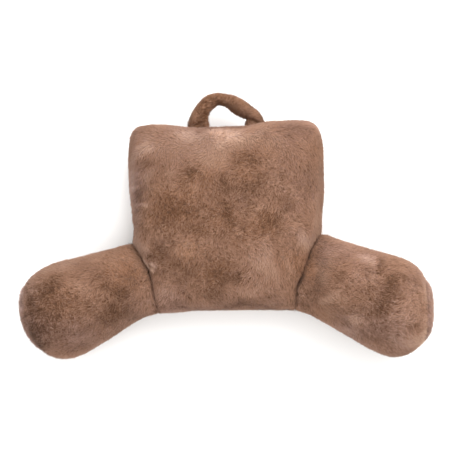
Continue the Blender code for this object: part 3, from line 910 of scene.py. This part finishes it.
# tufts all over a cloth, placed, combed and toned by its fields and these inputs
def pileTree(name, material):
    tree = bpy.data.node_groups.new(name, "GeometryNodeTree")
    face = tree.interface
    face.new_socket("Cloth", in_out="INPUT", socket_type="NodeSocketGeometry")
    for label in pile:
        face.new_socket(label, in_out="INPUT", socket_type="NodeSocketFloat")
    face.new_socket("seed", in_out="INPUT", socket_type="NodeSocketInt")
    face.new_socket("Pile", in_out="OUTPUT", socket_type="NodeSocketGeometry")
    given = tree.nodes.new("NodeGroupInput").outputs

    def put(kind, inputs, **settings):
        return newNode(tree, kind, inputs, **settings)

    def maths(operation, *values):
        return put("ShaderNodeMath", dict(enumerate(values)), operation=operation)[0]

    def times(first, second):
        return maths("MULTIPLY", first, second)

    def vectors(operation, first, second=(0.0, 0.0, 0.0), **scale):
        outputs = put("ShaderNodeVectorMath", {0: first, 1: second, **scale}, operation=operation)
        return outputs["Value" if operation == "DOT_PRODUCT" else "Vector"]

    def between(value, low, high):
        return maths("MINIMUM", maths("MAXIMUM", value, low), high)

    def named(attribute, kind="FLOAT"):
        return put("GeometryNodeInputNamedAttribute", {"Name": attribute}, data_type=kind)["Attribute"]

    # a smooth random vector with features of this size, from about -1 to 1
    def swirl(size, offset):
        spot, scale = vectors("ADD", place, offset), maths("DIVIDE", 1.0, size)
        colour = put("ShaderNodeTexNoise", {"Vector": spot, "Scale": scale, "Detail": 1.5})["Color"]
        return vectors("SCALE", vectors("SUBTRACT", colour, (0.5, 0.5, 0.5)), Scale=4.0)

    def firstOf(vector):
        return put("ShaderNodeSeparateXYZ", {0: vector})[0]

    # the node has its vector sockets first, then its number ones
    def chance(low, high, offset, kind="FLOAT", first=2):
        inputs = {first: low, first + 1: high, "Seed": maths("ADD", given["seed"], offset)}
        return put("FunctionNodeRandomValue", inputs, data_type=kind)[first // 2]

    def keep(geometry, label, value, kind="FLOAT", domain="POINT"):
        inputs = {"Geometry": geometry, "Name": label, "Value": value}
        return put("GeometryNodeStoreNamedAttribute", inputs, data_type=kind, domain=domain)["Geometry"]

    def plus(vector, direction, amount):
        return vectors("ADD", vector, vectors("SCALE", direction, Scale=amount))

    # this much where the pile is smooth, more where it is rough
    def byRough(value, key):
        return times(value, maths("MULTIPLY_ADD", rough, *tufts[key]))

    density = times(given["density"], named("pileDensity"))
    ground = {"Mesh": given["Cloth"], "Density": density, "Seed": given["seed"]}
    spread = put("GeometryNodeDistributePointsOnFaces", ground, distribute_method="RANDOM")
    seeds = keep(spread["Points"], "rootNormal", spread["Normal"], "FLOAT_VECTOR")

    place = put("GeometryNodeInputPosition", {})[0]
    normal = named("rootNormal", "FLOAT_VECTOR")
    rough = named("pileRough")
    sweep = swirl(given["sweep"], (3.1, 7.7, 1.3))
    clump = vectors("SCALE", swirl(given["clump"], (9.4, 2.2, 5.8)), Scale=rough)
    stray = chance((-1.0, -1.0, -1.0), (1.0, 1.0, 1.0), 11, "FLOAT_VECTOR", 0)
    flow = plus(named("pileBrush", "FLOAT_VECTOR"), sweep, byRough(given["sweepPull"], "roughPull"))
    flow = plus(flow, clump, given["clumpPull"])
    flow = plus(flow, stray, byRough(given["stray"], "roughStray"))
    upright = vectors("SCALE", normal, Scale=vectors("DOT_PRODUCT", flow, normal))
    flow = vectors("NORMALIZE", vectors("SUBTRACT", flow, upright))

    clumpLean = times(firstOf(swirl(given["clump"], (1.7, 4.9, 8.3))), rough)
    leanShift = maths("ADD", times(clumpLean, 0.5), chance(-0.5, 0.5, 12))
    lean = maths("MULTIPLY_ADD", leanShift, given["leanVary"], given["lean"])
    lean = maths("RADIANS", between(lean, *tufts["leans"]))
    aim = plus(vectors("SCALE", flow, Scale=maths("SINE", lean)), normal, maths("COSINE", lean))

    toneSwirl = swirl(times(given["clump"], 0.6), (6.6, 0.4, 2.9))
    clumpTone = times(firstOf(toneSwirl), rough)
    isSpeck = maths("LESS_THAN", chance(0.0, 1.0, 17), times(rough, tufts["specks"]))
    speck = times(isSpeck, tufts["speckTone"])
    ownTone = byRough(chance(*tufts["ownTones"], 13), "roughTone")
    toneShift = maths("ADD", maths("MULTIPLY_ADD", clumpTone, 0.85, speck), ownTone)
    tone = maths("MULTIPLY_ADD", toneShift, given["toneSpread"], named("pileTone"))
    seeds = keep(seeds, "tuftTone", between(tone, *tufts["tones"]))
    rowCount = float(len(plush["tints"]))
    row = maths("FLOOR", maths("ADD", named("pileTint"), chance(0.0, 1.0, 18)))
    seeds = keep(seeds, "tuftRow", between(row, 0.0, rowCount - 1))

    shape = {"Vertices": 3, "Radius Top": 0.0, "Radius Bottom": 0.5, "Depth": 1.0}
    cone = put("GeometryNodeMeshCone", shape, fill_type="NGON")
    spot = put("ShaderNodeSeparateXYZ", {0: place})
    tuft = keep(cone["Mesh"], "tuftAlong", maths("MULTIPLY_ADD", spot["Y"], 0.04, spot["Z"]))
    tuft = keep(tuft, "tuftAcross", spot["X"])

    turn = put("FunctionNodeAlignRotationToVector", {"Vector": aim}, axis="Z")
    ownTurn = {"Axis": (0.0, 0.0, 1.0), "Angle": chance(0.0, 6.28, 14)}
    roll = put("FunctionNodeAxisAngleToRotation", ownTurn)
    rotate = put("FunctionNodeRotateRotation", {0: turn[0], 1: roll[0]}, rotation_space="LOCAL")
    width = times(given["width"], chance(*tufts["widths"], 15))
    reach = times(given["length"], named("pileLength"))
    reach = times(reach, chance(*tufts["lengths"], 16))
    size = put("ShaderNodeCombineXYZ", {0: width, 1: width, 2: reach})
    sowing = {"Points": seeds, "Instance": tuft, "Rotation": rotate[0], "Scale": size[0]}
    sown = put("GeometryNodeInstanceOnPoints", sowing)
    real = put("GeometryNodeRealizeInstances", {0: sown["Instances"]})
    across = maths("MULTIPLY_ADD", named("tuftAcross"), 0.02, named("tuftTone"))
    upRow = maths("MULTIPLY_ADD", named("tuftAlong"), *tufts["upRow"])
    upMap = maths("DIVIDE", maths("ADD", named("tuftRow"), upRow), rowCount)
    onMap = put("ShaderNodeCombineXYZ", {0: across, 1: upMap})
    mapped = keep(real[0], "OFBake", onMap[0], "FLOAT2", "CORNER")
    dressed = put("GeometryNodeSetMaterial", {"Material": material, "Geometry": mapped})
    tree.links.new(dressed[0], tree.nodes.new("NodeGroupOutput").inputs[0])
    return tree


pileNodes = pileTree("plush pile", pileLook)


# tufts take most of their shading from the cloth under them, as a dense pile does
def softShading(mesh, share):
    root = np.empty(len(mesh.vertices) * 3, dtype=np.float32)
    mesh.attributes["rootNormal"].data.foreach_get("vector", root)
    mixed = root.reshape(-1, 3) * share + meshNormals(mesh) * (1 - share)
    mixed /= np.maximum(np.linalg.norm(mixed, axis=1), 1e-6)[:, None]
    mesh.shade_smooth()
    mesh.normals_split_custom_set_from_vertices(mixed)


# the pile of one cloth, or of the chosen part of it, as a plain mesh
def sownPile(name, cloth, seed, chosen=1.0, **changes):
    values = {**pile, **changes, "seed": seed}
    ground = cloth.data.copy()
    writeAttribute(ground, "pileDensity", readAttribute(ground, "pileDensity") * chosen)
    piece = newObject(name, ground)
    grower = piece.modifiers.new("pile", "NODES")
    grower.node_group = pileNodes
    for item in pileNodes.interface.items_tree:
        if item.name in values and item.in_out == "INPUT":
            grower[item.identifier] = values[item.name]
    mesh = applied(piece)
    points = meshPoints(mesh)
    below = np.minimum(points[:, 2] - floorGap, 0.0)  # tips that reach the surface lie flat on it
    points[:, 2] = np.where(below < 0, floorGap + below * 0.03, points[:, 2])
    setPoints(mesh, points)
    softShading(mesh, 0.65)
    print(name, len(mesh.polygons), "faces")
    return piece


def settle(piece, node=None):
    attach(piece, "root")
    if node:
        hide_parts(node)


back, backShade = buildBackCloth()
arms = {side: buildArmCloth(side) for side in sides}
endPanels = {side: buildCapCloth(side) for side in sides}
handle, handleShade = buildHandleCloth()
combBack(back, backShade, [arms["left"][0], arms["right"][0]], handle)
combHandle(handle, handleShade, back)
for side in sides:
    combArm(*arms[side], side, back, endPanels[side])
    combCap(endPanels[side], side, arms[side][0])
print("pile combed")

settle(back, "back_cushion")
facingUp = meshNormals(back.data)[:, 2] > 0.30
settle(sownPile("back_front_pile", back, 3, facingUp * 1.0))
settle(sownPile("back_side_pile", back, 4, 1.0 - facingUp))
for number, side in enumerate(sides):
    arm, endPanel = arms[side][0], endPanels[side]
    settle(arm, f"arm_{side}")
    settle(sownPile(f"arm_pile_{side}", arm, 20 + number))
    settle(endPanel, f"arm_cap_{side}")
    settle(sownPile(f"arm_cap_pile_{side}", endPanel, 30 + number))
settle(handle, "handle")
settle(sownPile("handle_pile", handle, 40, **handleCloth["pile"]))
print("pillow dressed")


studio = {
    "floorColour": (0.93, 0.93, 0.925, 1.0),
    "worldColour": (1.0, 0.995, 0.985, 1.0),
    "worldStrength": 1.25,
    "keyPlace": (1.1, 1.7, 2.0),  # soft window light beyond the handle end, from the right
    "keySize": 3.0,
    "keyPower": 88.0,
    "fillPlace": (-0.4, -1.4, 2.3),
    "fillSize": 2.4,
    "fillPower": 18.5,
    "cameraTilt": 84.0,  # degrees above the surface, from the lower edge's side
    "cameraDistance": 2.2,
    "cameraAim": (0.0, -0.0035, 0.09),
    "viewWidth": 0.9996,  # metres across the view at the aim point
    "lampAim": (0.0, -0.05, 0.05),
}


def buildStudio():
    floorMesh = bpy.data.meshes.new("floor")
    builder = bmesh.new()
    bmesh.ops.create_grid(builder, x_segments=1, y_segments=1, size=6.0)
    builder.to_mesh(floorMesh)
    builder.free()
    floor = newObject("floor", floorMesh)
    material = bpy.data.materials.new("pale_floor")
    material.use_nodes = True
    tree = material.node_tree
    feed(tree, tree.nodes["Principled BSDF"], {"Base Color": studio["floorColour"], "Roughness": 0.9})
    floorMesh.materials.append(material)
    world = bpy.data.worlds.new("studio")
    bpy.context.scene.world = world
    world.use_nodes = True
    light = {"Color": studio["worldColour"], "Strength": studio["worldStrength"]}
    feed(world.node_tree, world.node_tree.nodes["Background"], light)
    for name in ("key", "fill"):
        data = bpy.data.lights.new(name, "AREA")
        data.shape = "DISK"
        data.size = studio[name + "Size"]
        data.energy = studio[name + "Power"]
        lamp = newObject(name, data)
        lamp.location = studio[name + "Place"]
        aim = Vector(studio["lampAim"]) - lamp.location
        lamp.rotation_euler = aim.to_track_quat("-Z", "Y").to_euler()


def buildCamera():
    tilt = math.radians(studio["cameraTilt"])
    aim = Vector(studio["cameraAim"])
    place = aim + Vector((0.0, -math.cos(tilt), math.sin(tilt))) * studio["cameraDistance"]
    data = bpy.data.cameras.new("camera")
    data.sensor_width = 36.0
    data.lens = data.sensor_width * studio["cameraDistance"] / studio["viewWidth"]
    camera = newObject("camera", data)
    camera.location = place
    camera.rotation_euler = (aim - place).to_track_quat("-Z", "Y").to_euler()
    bpy.context.scene.camera = camera


buildStudio()
buildCamera()
bpy.context.scene.view_settings.view_transform = "Standard"
